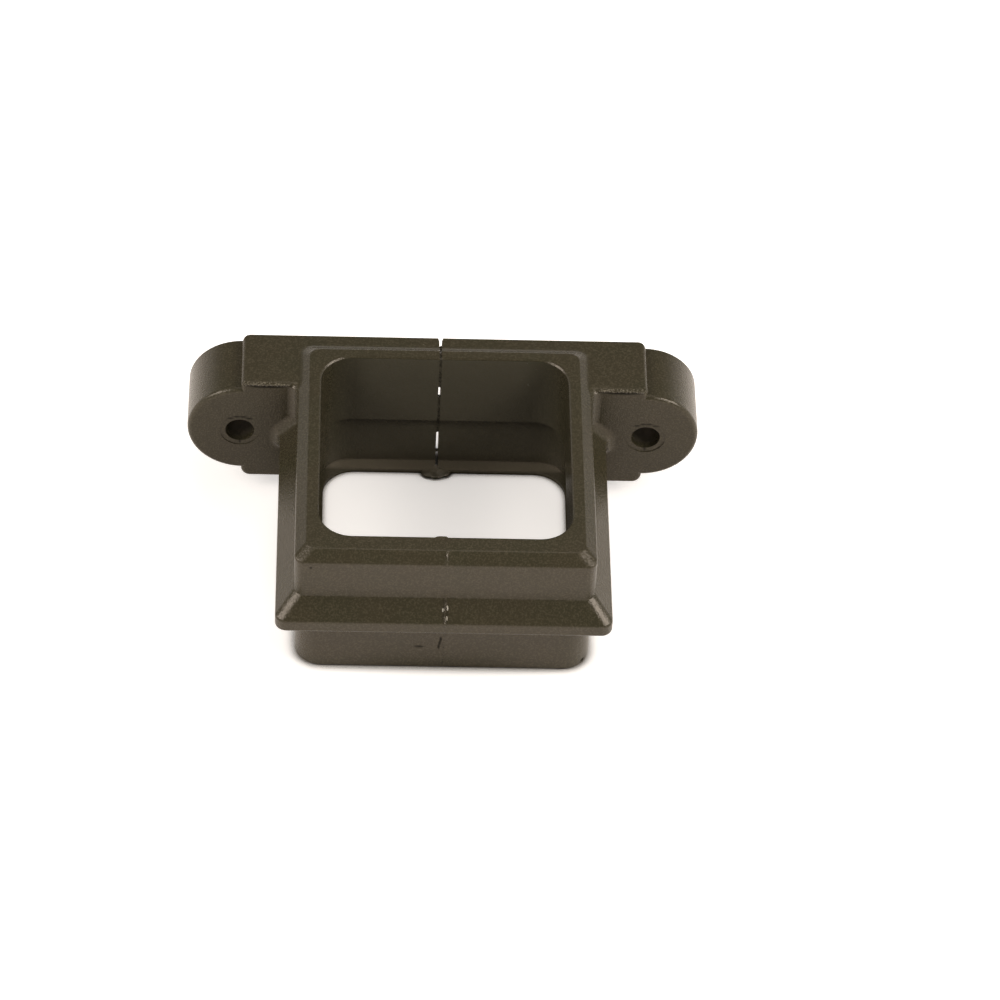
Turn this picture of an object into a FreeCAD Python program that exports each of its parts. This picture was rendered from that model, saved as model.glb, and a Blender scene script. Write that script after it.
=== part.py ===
"""Downpipe clip for a square rainwater pipe, moulded in one piece.

A stepped collar goes round the pipe and grows out of a thick back plate with a round lug at each end.
The origin is on the wall plane, midway between the two screw holes. X runs along the wall, the wall is on
the +Y side, and Z runs up the pipe. All sizes are in millimetres.
"""
import FreeCAD
import Part
import math
import os

from FreeCAD import Vector

# Pipe opening
opening = 68.0           # clear square at the mouth, for a 65 mm pipe
opening_corner = 9.0     # radius of the opening's corners
wall_gap = 10.2          # from the wall plane to the opening's rear edge
recess_depth = 1.8       # the lower half of the opening is this much wider on each side
lip_thickness = 1.4      # lip round the foot, below the recess
lower_shift = 1.0        # the recess and the foot's opening sit this far right of the mouth
lip_reach = 2.0          # how far the lip's rear edge stands into the opening

# Collar, from the mouth down
rim_width = 3.1          # flat rim at the sides and rear of the opening
front_extra = 2.1        # the front wall is this much thicker than the sides
shoulder_run = 3.2       # slope from the rim out to the band
shoulder_drop = 2.4
band_height = 12.6
flare_run = 4.9          # slope from the band out to the bead
flare_drop = 5.2
bead_height = 3.8
skirt_height = 19.0
skirt_inset = 0.4        # the skirt stands this far inside the band
moulding_corner = 3.0    # upright corners of the rim, band and bead
skirt_corner = 7.0       # upright corners of the skirt

# Back plate and lugs
plate_thickness = 19.6
plate_shoulder = 10.8    # plate beside the bead, at each end
plate_rise = 0.4         # the plate's top above the band's top edge
plate_lift = 5.0         # the plate's underside above the foot
lug_step = 2.4           # the plate stands this far above its lugs
lug_foot_step = 3.2      # and this far below them
lug_reach = 14.8         # the lugs' round ends beyond the plate
screw_overhang = 0.3     # the screw holes' centres beyond the plate's ends
screw_hole = 8.0
screw_ring = 11.0        # shallow ring pressed in round each screw hole
screw_ring_depth = 0.2

# Split at the rear
split_width = 0.7
split_offset = -1.1      # the split runs a little left of the middle
chip_width = 2.0         # chipped corner where the split meets the plate's top rear edge
chip_depth = 2.4

# Rounded edges
edge_round = 0.8         # rim, shoulder and flare
bead_round = 0.8         # lower edge of the bead
plate_round = 1.3        # front edges of the plate and lugs
plate_corner = 1.5       # the plate's upper ends, seen from the front
plate_foot_corner = 2.6  # the plate's lower ends, seen from the front
plate_rear_corner = 2.4  # the plate's rear ends, seen from above
join_round = 3.0         # where the collar grows out of the plate
mouth_bevel = 0.4
foot_bevel = 0.6

# Depth to which the bead is buried in the plate, and overlap of solids that are joined or cut
bury = 2.0
overlap = 1.0
skin_tolerance = 0.005

# Offsets of the collar's faces from the opening
band_offset = rim_width + shoulder_run
bead_offset = band_offset + flare_run
skirt_offset = band_offset - skirt_inset

# Heights above the foot
bead_foot = skirt_height
bead_top = bead_foot + bead_height
band_foot = bead_top + flare_drop
band_top = band_foot + band_height
rim_top = band_top + shoulder_drop
plate_top = band_top + plate_rise
screw_height = 0.5 * (plate_lift + plate_top)

# Plate and lugs seen from the front
plate_half = 0.5 * opening + bead_offset + plate_shoulder
screw_half = plate_half + screw_overhang
lug_radius = 0.5 * (plate_top - plate_lift - lug_step - lug_foot_step)
lug_height = 0.5 * (plate_top + plate_lift - lug_step + lug_foot_step)
lug_middle = plate_half + lug_reach - lug_radius


def level(height):
    """Z of a height above the foot."""
    return height - screw_height


def rounded_rectangle(half, front, back, corner, height, middle_x=0.0):
    """Level outline with four round corners, symmetric about one X."""
    z = level(height)
    inset = corner * (1.0 - math.sqrt(0.5))
    turns = ((1, front, 1), (1, back, -1), (-1, back, -1), (-1, front, 1))
    arcs = []
    for number, (side, y, inward) in enumerate(turns):
        along = Vector(middle_x + side * (half - corner), y, z)
        middle = Vector(middle_x + side * (half - inset), y + inward * inset, z)
        across = Vector(middle_x + side * half, y + inward * corner, z)
        first, last = (along, across) if number % 2 == 0 else (across, along)
        arcs.append(Part.Arc(first, middle, last).toShape())
    edges = []
    for number, arc in enumerate(arcs):
        following = arcs[(number + 1) % len(arcs)]
        edges += [arc, Part.makeLine(arc.lastVertex().Point, following.firstVertex().Point)]
    return Part.Wire(edges)


def collar_outline(offset, corner, height):
    """Outline of the collar at an offset from the opening, kept inside the plate at the rear."""
    front = -wall_gap - opening - front_extra - offset
    back = min(offset - wall_gap, -bury)
    return rounded_rectangle(0.5 * opening + offset, front, back, corner, height)


def prism(outline, height):
    """Solid standing on a level outline."""
    return Part.Face(outline).extrude(Vector(0, 0, height))


def edges_at(shape, height):
    """Edges that lie wholly at one height."""
    z = level(height)
    return [edge for edge in shape.Edges
            if abs(edge.BoundBox.ZMin - z) < skin_tolerance and abs(edge.BoundBox.ZMax - z) < skin_tolerance]


def make_collar():
    """Rim, shoulder, band, flare and bead as one stack of slopes, on a straight skirt."""
    sections = ((bead_offset, bead_foot), (bead_offset, bead_top), (band_offset, band_foot),
                (band_offset, band_top), (rim_width, rim_top))
    outlines = [collar_outline(offset, moulding_corner, height) for offset, height in sections]
    moulding = Part.makeLoft(outlines, True, True)
    sharp = edges_at(moulding, bead_top) + edges_at(moulding, band_top) + edges_at(moulding, rim_top)
    moulding = moulding.makeFillet(edge_round, sharp)
    moulding = moulding.makeFillet(bead_round, edges_at(moulding, bead_foot))
    skirt = prism(collar_outline(skirt_offset, skirt_corner, 0.0), skirt_height + overlap)
    skirt = skirt.makeChamfer(foot_bevel, edges_at(skirt, 0.0))
    return moulding.fuse(skirt).Solids[0]


def along_y(outline, thickness):
    """Solid from the wall plane forwards, from an outline on the wall plane."""
    return Part.Face(outline).extrude(Vector(0, -thickness, 0))


def make_plate():
    """Back plate with its lugs, which are the round ends of a bar that runs through the plate."""
    low, high = level(plate_lift), level(plate_top)
    corners = [Vector(-plate_half, 0, low), Vector(plate_half, 0, low),
               Vector(plate_half, 0, high), Vector(-plate_half, 0, high)]
    block = along_y(Part.makePolygon(corners + corners[:1]), plate_thickness)
    ends = [edge for edge in block.Edges if edge.BoundBox.YLength > 0.5 * plate_thickness]
    upper = [edge for edge in ends if edge.BoundBox.ZMin > 0.5 * (low + high)]
    block = block.makeFillet(plate_corner, upper)
    lower = [edge for edge in block.Edges if edge.BoundBox.YLength > 0.5 * plate_thickness
             and edge.BoundBox.ZMax < low + skin_tolerance]
    block = block.makeFillet(plate_foot_corner, lower)
    plan = rounded_rectangle(plate_half, -2.0 * plate_thickness, 0.0, plate_rear_corner, plate_lift - overlap)
    block = block.common(prism(plan, plate_top - plate_lift + 2.0 * overlap)).Solids[0]
    middle, bottom, top = level(lug_height), level(lug_height - lug_radius), level(lug_height + lug_radius)
    right_end = Part.Arc(Vector(lug_middle, 0, bottom), Vector(lug_middle + lug_radius, 0, middle),
                         Vector(lug_middle, 0, top)).toShape()
    left_end = Part.Arc(Vector(-lug_middle, 0, top), Vector(-lug_middle - lug_radius, 0, middle),
                        Vector(-lug_middle, 0, bottom)).toShape()
    over = Part.makeLine(right_end.lastVertex().Point, left_end.firstVertex().Point)
    under = Part.makeLine(left_end.lastVertex().Point, right_end.firstVertex().Point)
    bar = along_y(Part.Wire([right_end, over, left_end, under]), plate_thickness)
    plate = block.fuse(bar).removeSplitter().Solids[0]
    front = [edge for edge in plate.Edges if edge.BoundBox.YMax < skin_tolerance - plate_thickness]
    return plate.makeFillet(plate_round, front)


def on_skin(solid, point):
    """True where a point lies on the outside of a solid."""
    return solid.Shells[0].distToShape(Part.Vertex(point))[0] < skin_tolerance


def middle_of(edge):
    return edge.valueAt(0.5 * (edge.FirstParameter + edge.LastParameter))


def blend(first, second, radius):
    """Join two solids and round the whole line where they meet."""
    body = first.fuse(second).Solids[0]
    meeting = [edge for edge in body.Edges
               if on_skin(first, middle_of(edge)) and on_skin(second, middle_of(edge))]
    return body.makeFillet(radius, meeting)


def pipe_way():
    """Room for the pipe: the throat from the mouth down, the wider recess and the foot's own opening."""
    rear, front = -wall_gap, -wall_gap - opening
    half = 0.5 * opening
    throat = rounded_rectangle(half, front, rear, opening_corner, lip_thickness)
    recess = rounded_rectangle(half + recess_depth, front - recess_depth, rear + recess_depth,
                               opening_corner + recess_depth, lip_thickness, lower_shift)
    foot = rounded_rectangle(half, front, rear - lip_reach, opening_corner, -overlap, lower_shift)
    return [prism(throat, rim_top - lip_thickness + overlap),
            prism(recess, bead_foot - lip_thickness),
            prism(foot, lip_thickness + 2.0 * overlap)]


def screw_cuts():
    """Both screw holes, right through the plate, each with its shallow ring in front."""
    cuts = []
    for x in (-screw_half, screw_half):
        start = Vector(x, overlap, 0)
        cuts.append(Part.makeCylinder(0.5 * screw_hole, plate_thickness + 2.0 * overlap, start, Vector(0, -1, 0)))
        ring = Vector(x, screw_ring_depth - plate_thickness, 0)
        cuts.append(Part.makeCylinder(0.5 * screw_ring, screw_ring_depth + overlap, ring, Vector(0, -1, 0)))
    return cuts


def split_cuts():
    """The narrow split from the opening to the wall plane, and the chip at its upper rear end."""
    depth = wall_gap + lip_reach + 2.0 * overlap
    corner = Vector(split_offset - 0.5 * split_width, overlap - depth, level(-overlap))
    split = Part.makeBox(split_width, depth, rim_top + 2.0 * overlap, corner)
    top = level(plate_top) + overlap
    rear = [Vector(split_offset + side * 0.5 * chip_width, overlap, top) for side in (-1, 1)]
    tip = Vector(split_offset, -chip_depth, top)
    chip = Part.Face(Part.makePolygon(rear + [tip, rear[0]])).extrude(Vector(0, 0, -chip_depth - overlap))
    return [split, chip]


def make_clip():
    clip = blend(make_collar(), make_plate(), join_round)
    clip = clip.cut(pipe_way()).Solids[0]
    inside = 0.5 * opening + skin_tolerance
    mouth = [edge for edge in edges_at(clip, rim_top)
             if max(abs(edge.BoundBox.XMin), abs(edge.BoundBox.XMax)) < inside]
    clip = clip.makeChamfer(mouth_bevel, mouth)
    for cutter in screw_cuts() + split_cuts():
        clip = clip.cut(cutter).Solids[0]
    return clip


os.makedirs("parts", exist_ok=True)
make_clip().exportStep("parts/downpipe_clip.step")
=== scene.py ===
"""Downpipe clip: the finish of its moulding, the seam and flash that its mould left, and a plain stage."""
import math

import bpy
from bpy.props import FloatProperty, FloatVectorProperty, PointerProperty
from mathutils import Matrix, Vector


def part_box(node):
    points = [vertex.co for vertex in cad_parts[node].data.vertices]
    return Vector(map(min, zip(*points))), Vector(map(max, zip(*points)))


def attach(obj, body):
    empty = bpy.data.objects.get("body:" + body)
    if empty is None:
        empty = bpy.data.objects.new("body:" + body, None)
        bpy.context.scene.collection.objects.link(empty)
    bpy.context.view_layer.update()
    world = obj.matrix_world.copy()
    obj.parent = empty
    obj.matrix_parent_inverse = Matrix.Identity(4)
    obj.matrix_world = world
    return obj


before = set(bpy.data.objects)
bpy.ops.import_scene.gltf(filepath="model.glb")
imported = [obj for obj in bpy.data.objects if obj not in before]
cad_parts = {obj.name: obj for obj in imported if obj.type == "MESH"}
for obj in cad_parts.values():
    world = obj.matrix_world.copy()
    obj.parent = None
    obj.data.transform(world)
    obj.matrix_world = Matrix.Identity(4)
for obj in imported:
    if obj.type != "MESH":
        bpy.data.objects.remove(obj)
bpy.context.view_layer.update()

bl_info = {
    "name": "Downpipe clip",
    "version": (1, 0, 0),
    "blender": (4, 5, 0),
    "location": "View3D > Sidebar > Downpipe clip",
    "description": "Finishes a moulded downpipe clip and sets it on a plain stage",
    "category": "Object",
}

CLIP = "downpipe_clip"
BODY = "root"
MM = 0.001

# Sizes of the patches, pebbles and grains in the finish
BROAD = 14 * MM
PEBBLE = 1.6 * MM
GRAIN = 0.48 * MM

# Colour of the light
WARM = (1.0, 0.95, 0.89)

clip_low, clip_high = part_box(CLIP)

# Places on the clip, from its box
bead_front = clip_low.y
band_front = bead_front + 4.9 * MM
skirt_front = bead_front + 5.3 * MM
mouth_front = bead_front + 13.3 * MM
mouth_rear = clip_high.y - 10.2 * MM
recess_rear = clip_high.y - 8.4 * MM
lip_rear = clip_high.y - 12.2 * MM
plate_front = clip_high.y - 19.6 * MM
rim_top = clip_high.z
plate_top = rim_top - 2.0 * MM
band_top = rim_top - 2.4 * MM
band_foot = rim_top - 15.0 * MM
bead_top = rim_top - 20.2 * MM
bead_foot = rim_top - 24.0 * MM
foot = clip_low.z
screw_across = 56.3 * MM     # screw holes, either side of the middle
split_across = -1.1 * MM     # the rear split, a little left of the middle
foot_across = 1.0 * MM       # the foot's opening, a little right of the mouth
seam_across = 0.2 * MM       # the front seam, from the mouth to the bead
skirt_seam_across = 0.15 * MM
fin_inner = 42.4 * MM        # fins on the plate, from the collar's side to the lug
fin_outer = 55.2 * MM

# Direction out of the front at which every step of it shows, and how far off the seam's grids start
outward = Vector((0.0, -math.sqrt(0.5), math.sqrt(0.5)))
clear_of_clip = 20 * MM


def length(name, description, default):
    """A size in metres, with its default in millimetres."""
    return FloatProperty(name=name, description=description, default=default * MM, unit="LENGTH", precision=5)


def colour(name, description, default):
    return FloatVectorProperty(name=name, description=description, default=default, subtype="COLOR",
                               min=0.0, max=1.0)


def angle(name, description, default):
    """An angle in radians, with its default in degrees."""
    return FloatProperty(name=name, description=description, default=math.radians(default), subtype="ANGLE")


class ClipSizes(bpy.types.PropertyGroup):
    """Sizes of the marks that the mould left on the clip."""
    seam_width: length("Seam width", "Width of the ridge down the middle of the front", 0.9)
    seam_rise: length("Seam rise", "Most that the ridge stands out of the front", 0.3)
    seam_base: length("Seam base", "Depth to which the ridge is sunk in the front", 0.4)
    web_width: length("Web width", "Width of the flash in the rear split, from side to side", 0.9)
    web_thickness: length("Web thickness", "Thickness of the flash in the rear split", 0.5)
    drip_width: length("Drip width", "Width of the flash on the lip below the split", 8.4)
    drip_reach: length("Drip reach", "How far that flash stands out of the lip's edge", 2.6)
    flake_width: length("Flake width", "Width of the largest flake on the flare's seam", 0.7)
    fin_reach: length("Fin reach", "How far the flash stands out of the plate's upper front edge", 0.45)
    fin_thickness: length("Fin thickness", "Thickness of that flash", 0.4)


class ClipColours(bpy.types.PropertyGroup):
    """Colours of the moulding."""
    body: colour("Body", "Dark warm grey-brown of the moulding", (0.035, 0.0295, 0.0162))
    mottle: colour("Mottle", "Slightly greener tone in broad patches", (0.032, 0.0285, 0.0152))
    fleck: colour("Fleck", "Pale grains in the surface", (0.090, 0.076, 0.048))
    # Inside is painted light: a paler tone on the opening's rear wall, standing in for light that falls and
    # is mirrored there
    inside: colour("Inside", "Paler, scuffed rear wall of the opening", (0.093, 0.085, 0.061))
    # On the flash this is its paler plastic; on the lip it is painted light
    raw: colour("Raw edge", "Paler plastic of the flash and the lip", (0.145, 0.125, 0.090))
    # Painted highlight: a pale tone on the seam's flakes that stands in for their glints
    white: colour("Whitened flake", "Plastic that turned pale where it was torn", (0.44, 0.41, 0.35))
    # Painted light: a paler tone deep in the screw holes, standing in for light that reaches into them
    painted_bore_light: colour("Bore", "Raw plastic deep in the screw holes", (0.13, 0.112, 0.085))
    # Dirt in the small marks, and painted shadow under the fins and the counterbores' upper edges
    mark_and_shadow: colour("Nick", "Dirt in the small marks", (0.014, 0.012, 0.009))


class StageSettings(bpy.types.PropertyGroup):
    """Floor, light and camera."""
    floor: colour("Floor", "Pale floor", (0.87, 0.85, 0.83))
    target: FloatVectorProperty(name="Target", description="Point that the camera looks at",
                                default=(0.01568, -0.04177, clip_low.z + 0.01998), subtype="XYZ",
                                unit="LENGTH")
    distance: length("Distance", "From the target to the camera", 1311.95)
    azimuth: angle("Azimuth", "Turn of the camera about the pipe's line", -3.082)
    elevation: angle("Elevation", "Height of the camera above the horizon", 45.617)
    roll: angle("Roll", "Tilt of the camera about its line of sight", 3.26)
    lens: FloatProperty(name="Lens", description="Focal length in millimetres", default=171.9)


class Wire:
    """One output of a shader node. Arithmetic on it adds Math nodes."""

    def __init__(self, finish, socket):
        self.finish = finish
        self.socket = socket

    def math(self, operation, first, second):
        return self.finish.node("ShaderNodeMath", {"operation": operation}, {0: first, 1: second})

    def above(self, level):
        """1 where this is above a level and 0 where it isn't."""
        return self.math("GREATER_THAN", self, level)

    def __add__(self, other):
        return self.math("ADD", self, other)

    def __radd__(self, other):
        return self.math("ADD", other, self)

    def __sub__(self, other):
        return self.math("SUBTRACT", self, other)

    def __rsub__(self, other):
        return self.math("SUBTRACT", other, self)

    def __mul__(self, other):
        return self.math("MULTIPLY", self, other)

    def __rmul__(self, other):
        return self.math("MULTIPLY", other, self)


class Finish:
    """The node tree of one material or world."""

    def __init__(self, owner):
        owner.use_nodes = True
        self.tree = owner.node_tree
        self.tree.nodes.clear()

    def node(self, kind, settings=None, sockets=None, output=0):
        """Adds a node: its settings first, then the values or links of its sockets."""
        made = self.tree.nodes.new(kind)
        for key, value in (settings or {}).items():
            setattr(made, key, value)
        for key, value in (sockets or {}).items():
            if isinstance(value, Wire):
                self.tree.links.new(value.socket, made.inputs[key])
            else:
                made.inputs[key].default_value = value
        return Wire(self, made.outputs[output]) if made.outputs else None

    def place(self):
        return self.node("ShaderNodeTexCoord", output="Object")

    def noise(self, place, size, detail=2.0, roughness=0.5):
        """Even noise from 0 to 1 whose grains are about as large as size, in metres."""
        return self.node("ShaderNodeTexNoise", {"normalize": True},
                         {"Vector": place, "Scale": 1.0 / size, "Detail": detail, "Roughness": roughness})

    def ramp(self, value, low, high):
        """0 where value is low, 1 where it is high, and smooth between."""
        return self.node("ShaderNodeMapRange", {"interpolation_type": "SMOOTHSTEP"},
                         {"Value": value, "From Min": low, "From Max": high})

    def near(self, place, centre, reach, core=0.7):
        """1 in the core of an oval spot, as a share of its reach, and 0 outside it."""
        offset = self.node("ShaderNodeVectorMath", {"operation": "SUBTRACT"}, {0: place, 1: centre})
        share = self.node("ShaderNodeVectorMath", {"operation": "DIVIDE"}, {0: offset, 1: reach})
        far = self.node("ShaderNodeVectorMath", {"operation": "LENGTH"}, {0: share}, "Value")
        return 1.0 - self.ramp(far, core, 1.0)

    def within(self, place, centre, half):
        """1 inside a box and 0 outside it."""
        offset = self.node("ShaderNodeVectorMath", {"operation": "SUBTRACT"}, {0: place, 1: centre})
        share = self.node("ShaderNodeVectorMath", {"operation": "DIVIDE"}, {0: offset, 1: half})
        x, y, z = (self.node("ShaderNodeSeparateXYZ", None, {0: share}, axis) for axis in "XYZ")
        return (1.0 - x * x).above(0.0) * (1.0 - y * y).above(0.0) * (1.0 - z * z).above(0.0)

    def mix(self, first, second, share):
        """One colour changing into another."""
        first, second = (c if isinstance(c, Wire) else (*c, 1.0) for c in (first, second))
        return self.node("ShaderNodeMix", {"data_type": "RGBA"}, {0: share, 6: first, 7: second}, 2)


def opening_box():
    """Centre and half size of a box that holds the opening's walls and nothing outside them."""
    centre = Vector((0.5 * MM, 0.5 * (mouth_front + mouth_rear), 0.5 * (foot + rim_top)))
    half = Vector((36.6 * MM, 0.5 * (mouth_rear - mouth_front) + 2.2 * MM,
                   0.5 * (rim_top - foot) - 0.5 * MM))
    return centre, half


def moulding_finish(name, body, mottle, fleck, share, inside=(), patches=(), mark_and_shadow=None, marks_and_shadows=()):
    """Satin plastic with the fine sandy grain of a cast surface.

    Tones in inside stay on the opening's walls, those in patches go anywhere, and the small marks and painted
    shadows are matt and dark.
    """
    material = bpy.data.materials.new(name)
    finish = Finish(material)
    place = finish.place()
    broad = finish.noise(place, BROAD, 3.0)
    pebble = finish.noise(place, PEBBLE, 3.0, 0.6)
    grain = finish.noise(place, GRAIN, 1.0, 0.6)
    tone = finish.mix(body, mottle, finish.ramp(broad, 0.35, 0.65))
    walls = finish.within(place, *opening_box())
    for shade, centre, reach, core in inside:
        tone = finish.mix(tone, shade, walls * finish.near(place, centre, reach, core))
    tone = finish.mix(tone, fleck, share * finish.ramp(grain, 0.42, 0.72))
    for shade, centre, reach, core in patches:
        tone = finish.mix(tone, shade, finish.near(place, centre, reach, core))
    rough = 0.17 + 0.14 * pebble
    height = grain + 0.35 * pebble
    bump = finish.node("ShaderNodeBump", None, {"Strength": 0.5, "Distance": 0.18 * MM, "Height": height})
    shader = finish.node("ShaderNodeBsdfPrincipled", None,
                         {"Base Color": tone, "Roughness": rough, "Normal": bump, "IOR": 1.5,
                          "Specular IOR Level": 0.46, "Specular Tint": (1.0, 0.89, 0.80, 1.0)})
    if marks_and_shadows:
        whole = 1.0
        for centre, reach in marks_and_shadows:
            whole = whole * (1.0 - 0.85 * finish.near(place, centre, reach, 0.3))
        mark_and_shadow_finish = finish.node("ShaderNodeBsdfPrincipled", None,
                           {"Base Color": (*mark_and_shadow, 1.0), "Roughness": 0.9, "Specular IOR Level": 0.0})
        shader = finish.node("ShaderNodeMixShader", None, {0: whole, 1: mark_and_shadow_finish, 2: shader})
    finish.node("ShaderNodeOutputMaterial", None, {"Surface": shader})
    return material


def plain_floor(tint):
    """White floor, lifted where it is seen or mirrored, except close to the clip, where its shadow stays and
    a painted contact shadow darkens it.
    """
    material = bpy.data.materials.new("plain_floor")
    finish = Finish(material)
    seen = [finish.node("ShaderNodeLightPath", None, None, ray)
            for ray in ("Is Camera Ray", "Is Glossy Ray", "Is Transmission Ray")]
    # The floor under the collar, which the walls mirror dimly, and the floor beside it as far as the lugs
    middle = Vector((0.0, 0.5 * (mouth_front + mouth_rear), 0.0))
    inside = finish.near(finish.place(), middle, Vector((54 * MM, 50 * MM, 1.0)))
    beside = finish.near(finish.place(), middle, Vector((95 * MM, 46 * MM, 1.0)))
    # Painted shade in reflections: the floor's glow for glossy rays is taken away under the collar and dimmed
    # beside it
    mirrored = seen[1] * (1.0 - inside) * (1.0 - 0.25 * beside)
    nook = finish.node("ShaderNodeAmbientOcclusion", {"samples": 6}, {"Distance": 4.5 * MM}, "AO")
    touch = finish.node("ShaderNodeAmbientOcclusion", {"samples": 6}, {"Distance": 2.5 * MM}, "AO")
    level = 0.35 * (seen[0] * (1.6 - 0.33 * inside) + mirrored + seen[2]) * finish.ramp(nook, 0.5, 0.9)
    glow = finish.mix((1.0, 0.97, 0.95), (1.0, 0.83, 0.72), seen[1])
    lift = finish.node("ShaderNodeEmission", None, {"Color": glow, "Strength": level})
    # Painted contact shadow: the floor's colour darkens where ambient occlusion finds the clip close by
    shade = finish.mix((0.34, 0.32, 0.30), tint, finish.ramp(touch, 0.5, 0.92) + seen[1])
    # Painted shade: the floor under the collar turns dark for glossy rays, so the opening's walls mirror it
    # dimly
    shade = finish.mix(shade, (0.04, 0.037, 0.033), 0.95 * seen[1] * inside)
    matt = finish.node("ShaderNodeBsdfDiffuse", None, {"Color": shade})
    both = finish.node("ShaderNodeAddShader", None, {0: matt, 1: lift})
    finish.node("ShaderNodeOutputMaterial", None, {"Surface": both})
    return material


def deselect():
    bpy.ops.object.select_all(action="DESELECT")


def settle():
    """Puts the active piece's place, turn and size into its mesh."""
    bpy.ops.object.transform_apply(location=True, rotation=True, scale=True)


def new_grid(name, wide, long, columns, rows, place, turn):
    """Flat grid of its own size, turned and put in its place."""
    deselect()
    bpy.ops.mesh.primitive_grid_add(x_subdivisions=columns, y_subdivisions=rows, size=1.0,
                                    location=place, rotation=turn)
    piece = bpy.context.object
    piece.name = name
    piece.scale = (wide, long, 1.0)
    bpy.ops.object.transform_apply(location=False, rotation=False, scale=True)
    return piece


def lay_on_clip(piece):
    """Drops a grid along its own Z on to the clip, so that it follows every step."""
    wrap = piece.modifiers.new("lay", "SHRINKWRAP")
    wrap.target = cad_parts[CLIP]
    wrap.wrap_method = "PROJECT"
    wrap.use_project_z = True
    wrap.use_positive_direction = False
    wrap.use_negative_direction = True
    bpy.ops.object.modifier_apply(modifier=wrap.name)
    settle()


def pick(piece, test):
    """Goes into edit mode with those points selected that pass a test of their place."""
    bpy.ops.object.mode_set(mode="EDIT")
    bpy.ops.mesh.select_mode(type="VERT")
    bpy.ops.mesh.select_all(action="DESELECT")
    bpy.ops.object.mode_set(mode="OBJECT")
    for point in piece.data.vertices:
        point.select = test(point.co)
    bpy.ops.object.mode_set(mode="EDIT")


def move(piece, test, shift, rough=0.0, seed=0):
    """Moves the points that pass a test, and roughens them."""
    pick(piece, test)
    bpy.ops.transform.translate(value=shift)
    if rough:
        bpy.ops.transform.vertex_random(offset=rough, uniform=1.0, normal=0.0, seed=seed)
    bpy.ops.object.mode_set(mode="OBJECT")


def thicken(piece, thickness, side):
    """Gives a sheet its thickness and turns its faces outwards."""
    body = piece.modifiers.new("body", "SOLIDIFY")
    body.thickness = thickness
    body.offset = side
    bpy.ops.object.modifier_apply(modifier=body.name)
    bpy.ops.object.mode_set(mode="EDIT")
    bpy.ops.mesh.select_all(action="SELECT")
    bpy.ops.mesh.normals_make_consistent(inside=False)
    bpy.ops.object.mode_set(mode="OBJECT")


def join(pieces, name):
    """Makes one piece of several."""
    deselect()
    for piece in pieces:
        piece.select_set(True)
    bpy.context.view_layer.objects.active = pieces[0]
    bpy.ops.object.join()
    pieces[0].name = name
    return pieces[0]


def new_lump(name, middle, reach, turn, swell):
    """Uneven lump of a given reach along its own three axes."""
    deselect()
    bpy.ops.mesh.primitive_uv_sphere_add(segments=40, ring_count=20, radius=1.0, location=middle,
                                         rotation=turn)
    piece = bpy.context.object
    piece.name = name
    piece.scale = reach
    settle()
    lumps = bpy.data.textures.new(name, "CLOUDS")
    lumps.noise_scale = 2.0 * swell
    dent = piece.modifiers.new("dent", "DISPLACE")
    dent.texture = lumps
    dent.strength = swell
    bpy.ops.object.modifier_apply(modifier=dent.name)
    return piece


def finish_piece(piece, material):
    """Gives a finished piece its material and its body."""
    piece.data.materials.clear()
    piece.data.materials.append(material)
    bpy.ops.object.shade_smooth_by_angle(angle=math.radians(50))
    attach(piece, BODY)


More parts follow.
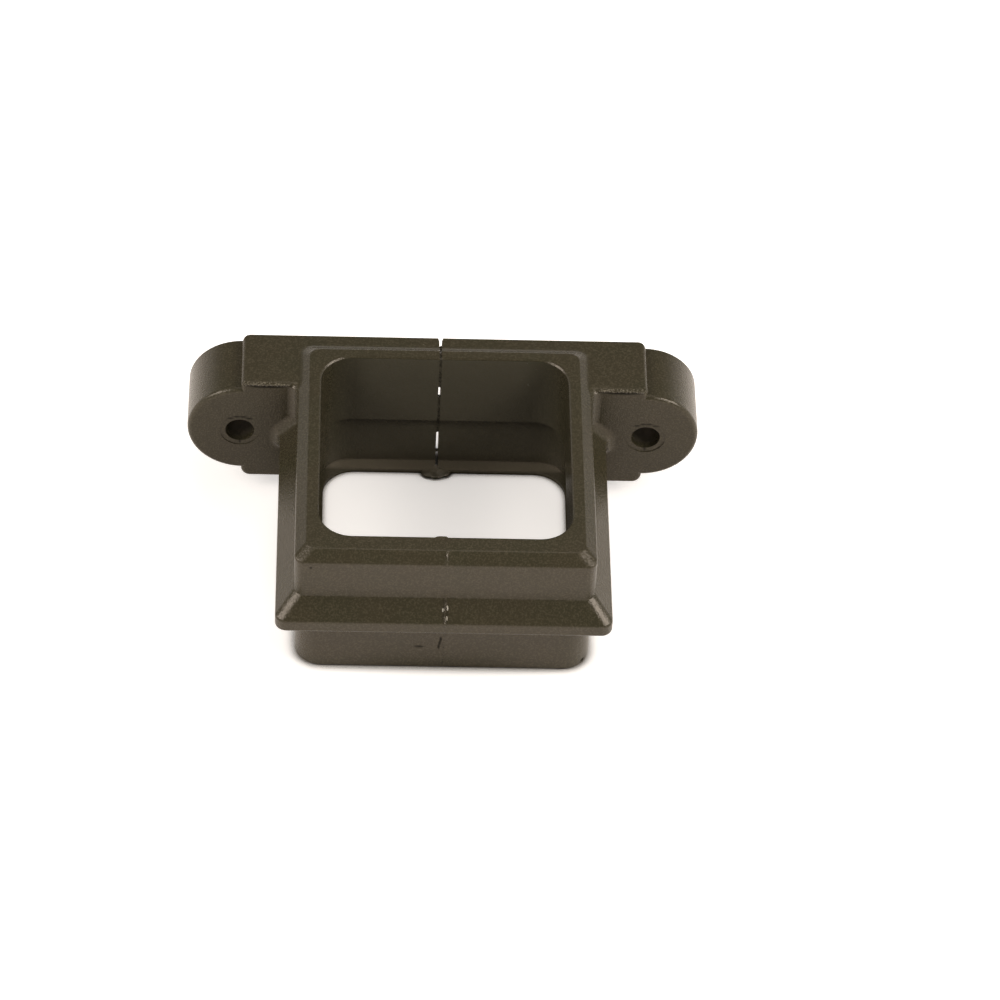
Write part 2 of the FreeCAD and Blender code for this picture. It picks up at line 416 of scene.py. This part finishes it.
class ClipFinish(bpy.types.Operator):
    """Give the moulding its satin, sandy finish, and mix the paler one of its raw edges"""
    bl_idname = "downpipe_clip.finish"
    bl_label = "Finish the moulding"

    def execute(self, context):
        tones = context.scene.clip_colours
        # Dash and slanting scratch on the skirt, pit in the band, chip at the skirt's foot
        marks_and_shadows = [
            (Vector((-6.3 * MM, skirt_front, foot + 8.4 * MM)), Vector((2.0, 1.0, 0.55)) * MM),
            (Vector((-0.55 * MM, skirt_front, foot + 11.4 * MM)), Vector((0.5, 1.0, 1.3)) * MM),
            (Vector((-0.80 * MM, skirt_front, foot + 9.9 * MM)), Vector((0.5, 1.0, 1.3)) * MM),
            (Vector((-1.05 * MM, skirt_front, foot + 8.4 * MM)), Vector((0.5, 1.0, 1.3)) * MM),
            (Vector((-35.8 * MM, band_front, foot + 38.8 * MM)), Vector((0.5, 1.0, 0.6)) * MM),
            (Vector((38.2 * MM, skirt_front + 2.0 * MM, foot + 1.6 * MM)), Vector((0.9, 3.0, 0.9)) * MM),
        ]
        # Painted light: the opening's rear wall is made paler, fading towards the front
        wall = Vector((foot_across, mouth_rear, foot))
        # Painted light: the lip is made paler with the raw tone, standing in for light that falls on it
        lip = Vector((foot_across, 0.5 * (recess_rear + lip_rear), foot + 1.4 * MM))
        inside = [(tones.inside, wall, Vector((37.0, 20.0, 120.0)) * MM, 0.6)]
        patches = [(tones.raw, lip, Vector((60.0, 3.2, 0.9)) * MM, 0.5)]
        for side in (-1.0, 1.0):
            screw = Vector((side * screw_across, plate_front, 0.0))
            # Painted light deep in each screw hole
            deep = screw + Vector((0.0, 10.0 * MM, 0.0))
            patches.append((tones.painted_bore_light, deep, Vector((4.6, 18.0, 4.6)) * MM, 0.9))
            tick = screw + Vector((0.0, 0.0, -4.5 * MM))
            marks_and_shadows.append((tick, Vector((0.45, 1.0, 0.9)) * MM))
            # Painted shadow under each fin, along the plate's front face
            fin_shadow = Vector((side * 0.5 * (fin_inner + fin_outer), plate_front, plate_top - 1.0 * MM))
            marks_and_shadows.append((fin_shadow, Vector((7.5, 0.8, 0.6)) * MM))
            # Painted shadow of the shallow counterbore's upper edge, in an arc above each hole
            for turn in (60, 80, 100, 120):
                ring = Vector((math.cos(math.radians(turn)), 0.0, math.sin(math.radians(turn))))
                marks_and_shadows.append((screw + 5.2 * MM * ring, Vector((1.4, 0.6, 0.6)) * MM))
        material = moulding_finish("satin_moulding", tones.body, tones.mottle, tones.fleck, 0.4, inside,
                                   patches, tones.mark_and_shadow, marks_and_shadows)
        moulding_finish("raw_edge", tones.body, tones.mottle, tones.raw, 0.9)
        # Painted highlight for the glints on the seam's flakes
        moulding_finish("glint_flake", tones.white, tones.raw, tones.white, 0.6)
        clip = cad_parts[CLIP]
        clip.data.materials.clear()
        clip.data.materials.append(material)
        return {"FINISHED"}


class ClipSeam(bpy.types.Operator):
    """Run the mould's ragged seam down the middle of the front"""
    bl_idname = "downpipe_clip.seam"
    bl_label = "Seam down the front"

    def execute(self, context):
        sizes = context.scene.clip_sizes
        hump = Vector((-1.2 * MM, mouth_front + 0.1 * MM, rim_top - 0.55 * MM))
        start = new_lump("seam_start", hump, Vector((1.7, 0.4, 0.4)) * MM, (0.0, 0.0, 0.0), 0.3 * MM)
        piece = join([self.over_the_steps(sizes), self.down_the_skirt(sizes), start], "front_seam")
        finish_piece(piece, bpy.data.materials["satin_moulding"])
        return {"FINISHED"}

    def over_the_steps(self, sizes):
        """From the mouth over the rim, shoulder, band and flare to the foot of the bead."""
        across = seam_across
        start = Vector((across, mouth_front - 0.6 * MM, rim_top))
        end = Vector((across, bead_front, bead_foot + 0.9 * MM))
        along = Vector((0.0, math.sqrt(0.5), math.sqrt(0.5)))
        place = 0.5 * (start + end) + outward * clear_of_clip
        piece = new_grid("seam_steps", sizes.seam_width, (start - end).dot(along), 6, 80, place,
                         (math.radians(45), 0.0, 0.0))
        lay_on_clip(piece)
        inner = 0.2 * sizes.seam_width
        move(piece, lambda co: abs(co.x - across) > 2.0 * inner, outward * -0.12 * MM)
        # Lowest and highest place of each zone, how far the ridge stands out there, and how ragged it is
        zones = ((rim_top - 0.4 * MM, 1.0, 0.10, 0.3), (band_top, rim_top - 0.4 * MM, 0.45, 0.5),
                 (band_foot, band_top, 0.2, 0.2), (bead_top, band_foot, 0.9, 0.9), (-1.0, bead_top, 0.5, 0.4))
        for number, (low, high, rise, rough) in enumerate(zones):
            for near, share in ((0.0, 1.0), (inner, 0.6)):
                move(piece, lambda co: low < co.z <= high and near <= abs(co.x - across) < near + inner,
                     outward * rise * share * sizes.seam_rise, rough * 0.7 * sizes.seam_rise, number)
        thicken(piece, sizes.seam_base, -1.0)
        return piece

    def down_the_skirt(self, sizes):
        """From under the bead to the foot of the skirt."""
        across = skirt_seam_across
        top, bottom = bead_foot - 1.0 * MM, foot + 0.8 * MM
        place = Vector((across, skirt_front - clear_of_clip, 0.5 * (top + bottom)))
        piece = new_grid("seam_skirt", 0.6 * sizes.seam_width, top - bottom, 6, 40, place,
                         (math.radians(90), 0.0, 0.0))
        lay_on_clip(piece)
        edge = 0.24 * sizes.seam_width
        move(piece, lambda co: abs(co.x - across) > edge, (0.0, 0.1 * MM, 0.0))
        move(piece, lambda co: abs(co.x - across) < 0.5 * edge, (0.0, -0.2 * sizes.seam_rise, 0.0),
             0.06 * MM, 7)
        thicken(piece, sizes.seam_base, -1.0)
        return piece


class ClipFlakes(bpy.types.Operator):
    """Set the flakes on the flare's part of the seam, their pale colour a painted highlight for their glints
    """
    bl_idname = "downpipe_clip.flakes"
    bl_label = "Flakes on the seam"

    def execute(self, context):
        widest = context.scene.clip_sizes.flake_width
        down = Vector((0.0, bead_front - band_front, bead_top - band_foot))
        top = Vector((0.0, band_front, band_foot))
        # Each flake's place across in millimetres, its share of the way down the flare, and its size
        marks = ((0.72, 0.37, 1.0), (-0.40, 0.45, 0.8), (0.66, 0.76, 0.9), (0.2, 0.92, 0.6))
        flakes = []
        for number, (across, share, size) in enumerate(marks):
            middle = top + share * down + Vector((across * MM, 0.0, 0.0))
            reach = Vector((0.42, 1.0, 0.36)) * size * widest
            flakes.append(new_lump("flake_" + str(number), middle, reach, (math.radians(45), 0.0, 0.0),
                                   0.3 * MM))
        piece = join(flakes, "seam_flakes")
        finish_piece(piece, bpy.data.materials["glint_flake"])
        return {"FINISHED"}


class ClipWeb(bpy.types.Operator):
    """Fill the rear split with thin flash, open only where light comes through"""
    bl_idname = "downpipe_clip.web"
    bl_label = "Flash in the split"

    def execute(self, context):
        sizes = context.scene.clip_sizes
        back, wall, low_wall = clip_high.y, mouth_rear + 0.5 * MM, recess_rear + 0.5 * MM
        # Depth and height of the points along each sheet, from the top down
        runs = (
            ((back - 2.6 * MM, plate_top - 0.8 * MM), (back - 4.9 * MM, plate_top - 0.7 * MM),
             (back - 7.4 * MM, rim_top - 0.7 * MM), (wall, rim_top - 0.8 * MM), (wall, foot + 31.7 * MM)),
            ((wall, foot + 28.2 * MM), (wall, bead_foot + 0.4 * MM), (low_wall, bead_foot - 0.5 * MM),
             (low_wall, foot + 12.3 * MM)),
            ((low_wall, foot + 5.6 * MM), (low_wall, foot + 4.7 * MM)),
        )
        piece = join([self.sheet(number, run, sizes) for number, run in enumerate(runs)], "split_web")
        finish_piece(piece, bpy.data.materials["satin_moulding"])
        return {"FINISHED"}

    def sheet(self, number, points, sizes):
        """One sheet, drawn out edge by edge along its points."""
        deselect()
        bpy.ops.mesh.primitive_plane_add(size=sizes.web_width, location=(split_across, 0.0, 0.0))
        piece = bpy.context.object
        settle()
        pick(piece, lambda co: co.y < 0.0)
        bpy.ops.mesh.delete(type="VERT")
        bpy.ops.mesh.select_all(action="SELECT")
        bpy.ops.transform.translate(value=(0.0, points[0][0] - 0.5 * sizes.web_width, points[0][1]))
        for (y, z), (next_y, next_z) in zip(points, points[1:]):
            cuts = max(1, round(math.hypot(next_y - y, next_z - z) / (0.6 * MM)))
            step = Vector((0.0, next_y - y, next_z - z)) / cuts
            for cut in range(cuts):
                bpy.ops.mesh.extrude_edges_move(TRANSFORM_OT_translate={"value": step})
        bpy.ops.mesh.select_all(action="SELECT")
        bpy.ops.mesh.subdivide(number_cuts=1)
        bpy.ops.transform.vertex_random(offset=0.2 * MM, uniform=1.0, normal=0.0, seed=number)
        bpy.ops.object.mode_set(mode="OBJECT")
        thicken(piece, sizes.web_thickness, 0.0)
        return piece


class ClipDrip(bpy.types.Operator):
    """Hang the lump of flash on the lip, below the split"""
    bl_idname = "downpipe_clip.drip"
    bl_label = "Flash on the lip"

    def execute(self, context):
        sizes = context.scene.clip_sizes
        middle = Vector((-1.4 * MM, lip_rear - 0.1 * MM, foot + 0.75 * MM))
        reach = (0.5 * sizes.drip_width, sizes.drip_reach, 0.85 * MM)
        piece = new_lump("lip_drip", middle, reach, (0.0, 0.0, 0.0), 1.1 * MM)
        pick(piece, lambda co: True)
        bpy.ops.transform.vertex_random(offset=0.05 * MM, uniform=1.0, normal=0.0, seed=3)
        bpy.ops.mesh.bisect(plane_co=(0.0, 0.0, foot + 0.1 * MM), plane_no=(0.0, 0.0, -1.0), use_fill=True,
                            clear_outer=True)
        bpy.ops.mesh.select_all(action="SELECT")
        bpy.ops.mesh.normals_make_consistent(inside=False)
        bpy.ops.object.mode_set(mode="OBJECT")
        finish_piece(piece, bpy.data.materials["satin_moulding"])
        return {"FINISHED"}


class ClipFins(bpy.types.Operator):
    """Leave ragged fins of flash along the plate's upper front edges"""
    bl_idname = "downpipe_clip.fins"
    bl_label = "Flash on the plate"

    def execute(self, context):
        sizes = context.scene.clip_sizes
        fins = [self.fin(0, -fin_outer, -fin_inner, sizes), self.fin(1, fin_inner, fin_outer, sizes)]
        piece = join(fins, "plate_fins")
        finish_piece(piece, bpy.data.materials["raw_edge"])
        return {"FINISHED"}

    def fin(self, number, start, end, sizes):
        """Thin shelf level with the plate's top, ragged along its front."""
        front, back = plate_front - 0.5 * sizes.fin_reach, plate_front + 1.9 * MM
        place = Vector((0.5 * (start + end), 0.5 * (front + back), plate_top - 0.06 * MM))
        piece = new_grid("fin_" + str(number), end - start, back - front, 60, 5, place, (0.0, 0.0, 0.0))
        settle()
        move(piece, lambda co: co.y < front + 0.1 * MM, (0.0, 0.0, -0.12 * MM),
             0.3 * sizes.fin_reach, 11 + number)
        move(piece, lambda co: co.y > back - 0.1 * MM, (0.0, 0.0, -0.2 * MM))
        thicken(piece, sizes.fin_thickness, -1.0)
        return piece


class ClipStage(bpy.types.Operator):
    """Set up the floor, the light and the camera"""
    bl_idname = "downpipe_clip.stage"
    bl_label = "Set the stage"

    def execute(self, context):
        settings = context.scene.clip_stage
        self.lay_floor(settings)
        self.light_dome(context.scene)
        middle = 0.5 * (clip_low + clip_high)
        self.soft_lamp("left", middle, Vector((-0.745, -0.17, 0.65)), distance=1.0, size=(0.68, 0.42),
                       roll=28, power=6.2)
        self.soft_lamp("right", middle, Vector((0.745, -0.17, 0.65)), distance=1.0, size=(0.68, 0.42),
                       roll=-28, power=8.0)
        self.soft_lamp("overhead", middle, Vector((0.0, 0.25, 0.97)), distance=1.2, size=(0.7, 0.7),
                       roll=0, power=2.0)
        self.aim_camera(context.scene, settings)
        context.scene.view_settings.view_transform = "Standard"
        return {"FINISHED"}

    def lay_floor(self, settings):
        deselect()
        bpy.ops.mesh.primitive_plane_add(size=12.0, location=(0.0, 0.0, clip_low.z))
        floor = bpy.context.object
        floor.name = "floor"
        floor.data.materials.append(plain_floor(settings.floor))

    def light_dome(self, scene):
        """Surroundings that are bright at the horizon and dimmer above, and white where they are seen."""
        scene.world = bpy.data.worlds.new("studio")
        dome = Finish(scene.world)
        direction = dome.node("ShaderNodeTexCoord", output="Generated")
        height = dome.node("ShaderNodeSeparateXYZ", None, {0: direction}, 2)
        level = 1.0 - 0.82 * dome.ramp(height, 0.05, 0.45)
        seen = dome.node("ShaderNodeLightPath", None, None, "Is Camera Ray")
        tint = dome.mix(WARM, (1.0, 1.0, 1.0), seen)
        sky = dome.node("ShaderNodeBackground", None, {"Color": tint, "Strength": level})
        dome.node("ShaderNodeOutputWorld", None, {"Surface": sky})

    def soft_lamp(self, name, middle, direction, distance, size, roll, power):
        """Oblong lamp in a given direction, rolled about its line to the clip by an angle in degrees."""
        deselect()
        place = middle + direction.normalized() * distance
        facing = direction.to_track_quat("Z", "Y").to_matrix()
        turn = (facing @ Matrix.Rotation(math.radians(roll), 3, "Z")).to_euler()
        bpy.ops.object.light_add(type="AREA", location=place, rotation=turn)
        lamp = bpy.context.object
        lamp.name = name
        lamp.data.shape = "RECTANGLE"
        lamp.data.size, lamp.data.size_y = size
        lamp.data.energy = power
        lamp.data.color = WARM

    def aim_camera(self, scene, settings):
        turn = (Matrix.Rotation(settings.azimuth, 4, "Z")
                @ Matrix.Rotation(0.5 * math.pi - settings.elevation, 4, "X")
                @ Matrix.Rotation(settings.roll, 4, "Z"))
        back = turn @ Vector((0.0, 0.0, 1.0))
        place = Vector(settings.target) + settings.distance * back
        deselect()
        bpy.ops.object.camera_add(location=place, rotation=turn.to_euler())
        scene.camera = bpy.context.object
        scene.camera.data.lens = settings.lens
        scene.camera.data.clip_start = 0.01
        scene.camera.data.clip_end = 100.0


class ClipPanel(bpy.types.Panel):
    """Sizes, colours and steps of the downpipe clip"""
    bl_idname = "VIEW3D_PT_downpipe_clip"
    bl_label = "Downpipe clip"
    bl_space_type = "VIEW_3D"
    bl_region_type = "UI"
    bl_category = "Downpipe clip"

    def draw(self, context):
        for group in (context.scene.clip_sizes, context.scene.clip_colours, context.scene.clip_stage):
            for key in group.__annotations__:
                self.layout.prop(group, key)
        for step in STEPS:
            self.layout.operator(step.bl_idname)


STEPS = (ClipFinish, ClipSeam, ClipFlakes, ClipWeb, ClipDrip, ClipFins, ClipStage)
GROUPS = {"clip_sizes": ClipSizes, "clip_colours": ClipColours, "clip_stage": StageSettings}


def register():
    for group in (*GROUPS.values(), *STEPS, ClipPanel):
        bpy.utils.register_class(group)
    for name, group in GROUPS.items():
        setattr(bpy.types.Scene, name, PointerProperty(type=group))


def unregister():
    for name in GROUPS:
        delattr(bpy.types.Scene, name)
    for group in reversed((*GROUPS.values(), *STEPS, ClipPanel)):
        bpy.utils.unregister_class(group)


def main():
    register()
    bpy.ops.downpipe_clip.finish()
    bpy.ops.downpipe_clip.seam()
    bpy.ops.downpipe_clip.flakes()
    bpy.ops.downpipe_clip.web()
    bpy.ops.downpipe_clip.drip()
    bpy.ops.downpipe_clip.fins()
    bpy.ops.downpipe_clip.stage()


if __name__ == "__main__":
    main()
